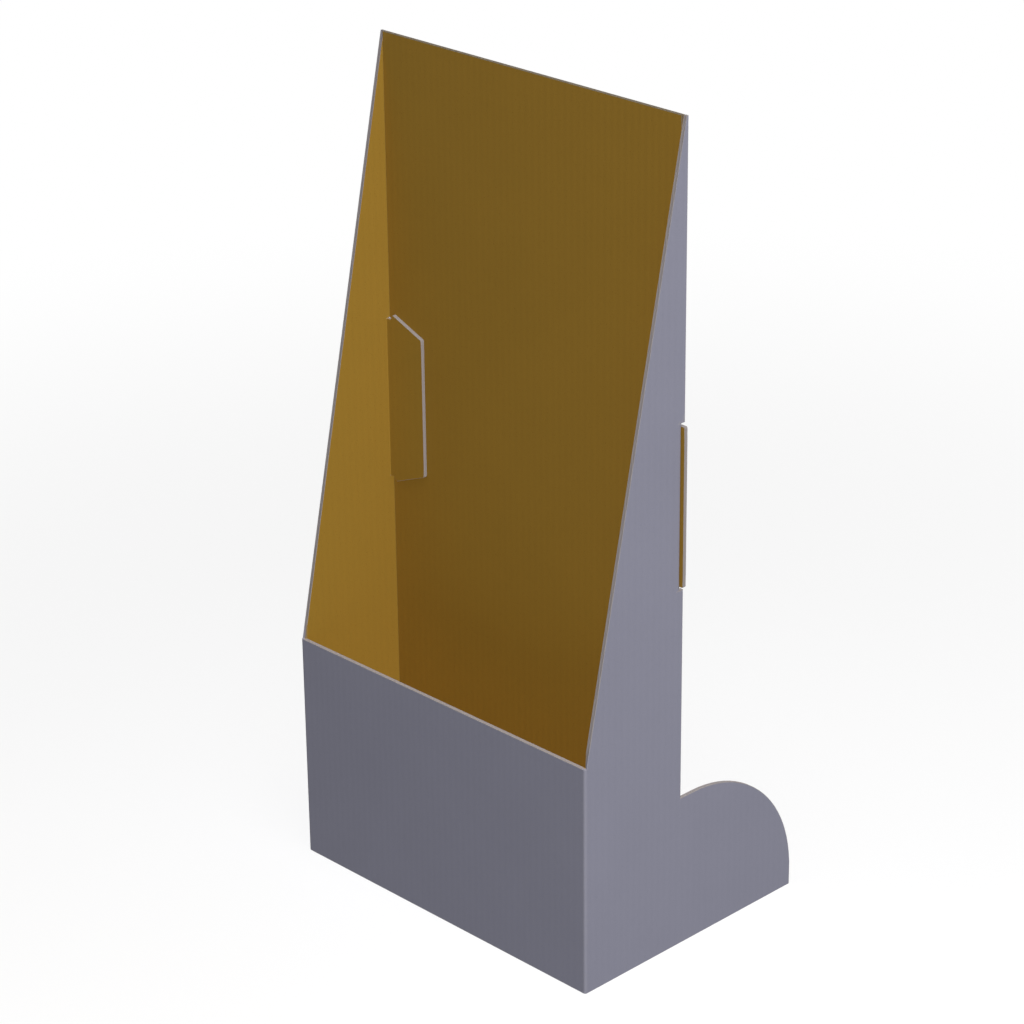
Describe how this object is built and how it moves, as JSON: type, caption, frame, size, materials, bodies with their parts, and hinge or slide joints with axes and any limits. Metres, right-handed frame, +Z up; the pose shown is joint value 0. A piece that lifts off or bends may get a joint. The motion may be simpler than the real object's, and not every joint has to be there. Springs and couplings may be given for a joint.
{
  "type": "cardboard display stand",
  "caption": "Tall free-standing corrugated board display with a low front pocket, sloping sides and rounded feet behind.",
  "frame": {"origin": "on the standing surface, under the middle of the part's width and depth", "axes": "+Z up, -Y towards the front of the pocket, +X to the right seen from the front"},
  "size_m": [0.3114, 0.2252, 0.646],
  "materials": {
    "wrap_board": "matt grey outside, brown kraft inside",
    "back_board": "brown kraft inside, matt grey outside"
  },
  "bodies": {
    "root": {"front_and_sides": "wrap_board", "back_and_floor": "back_board"}
  },
  "joints": []
}
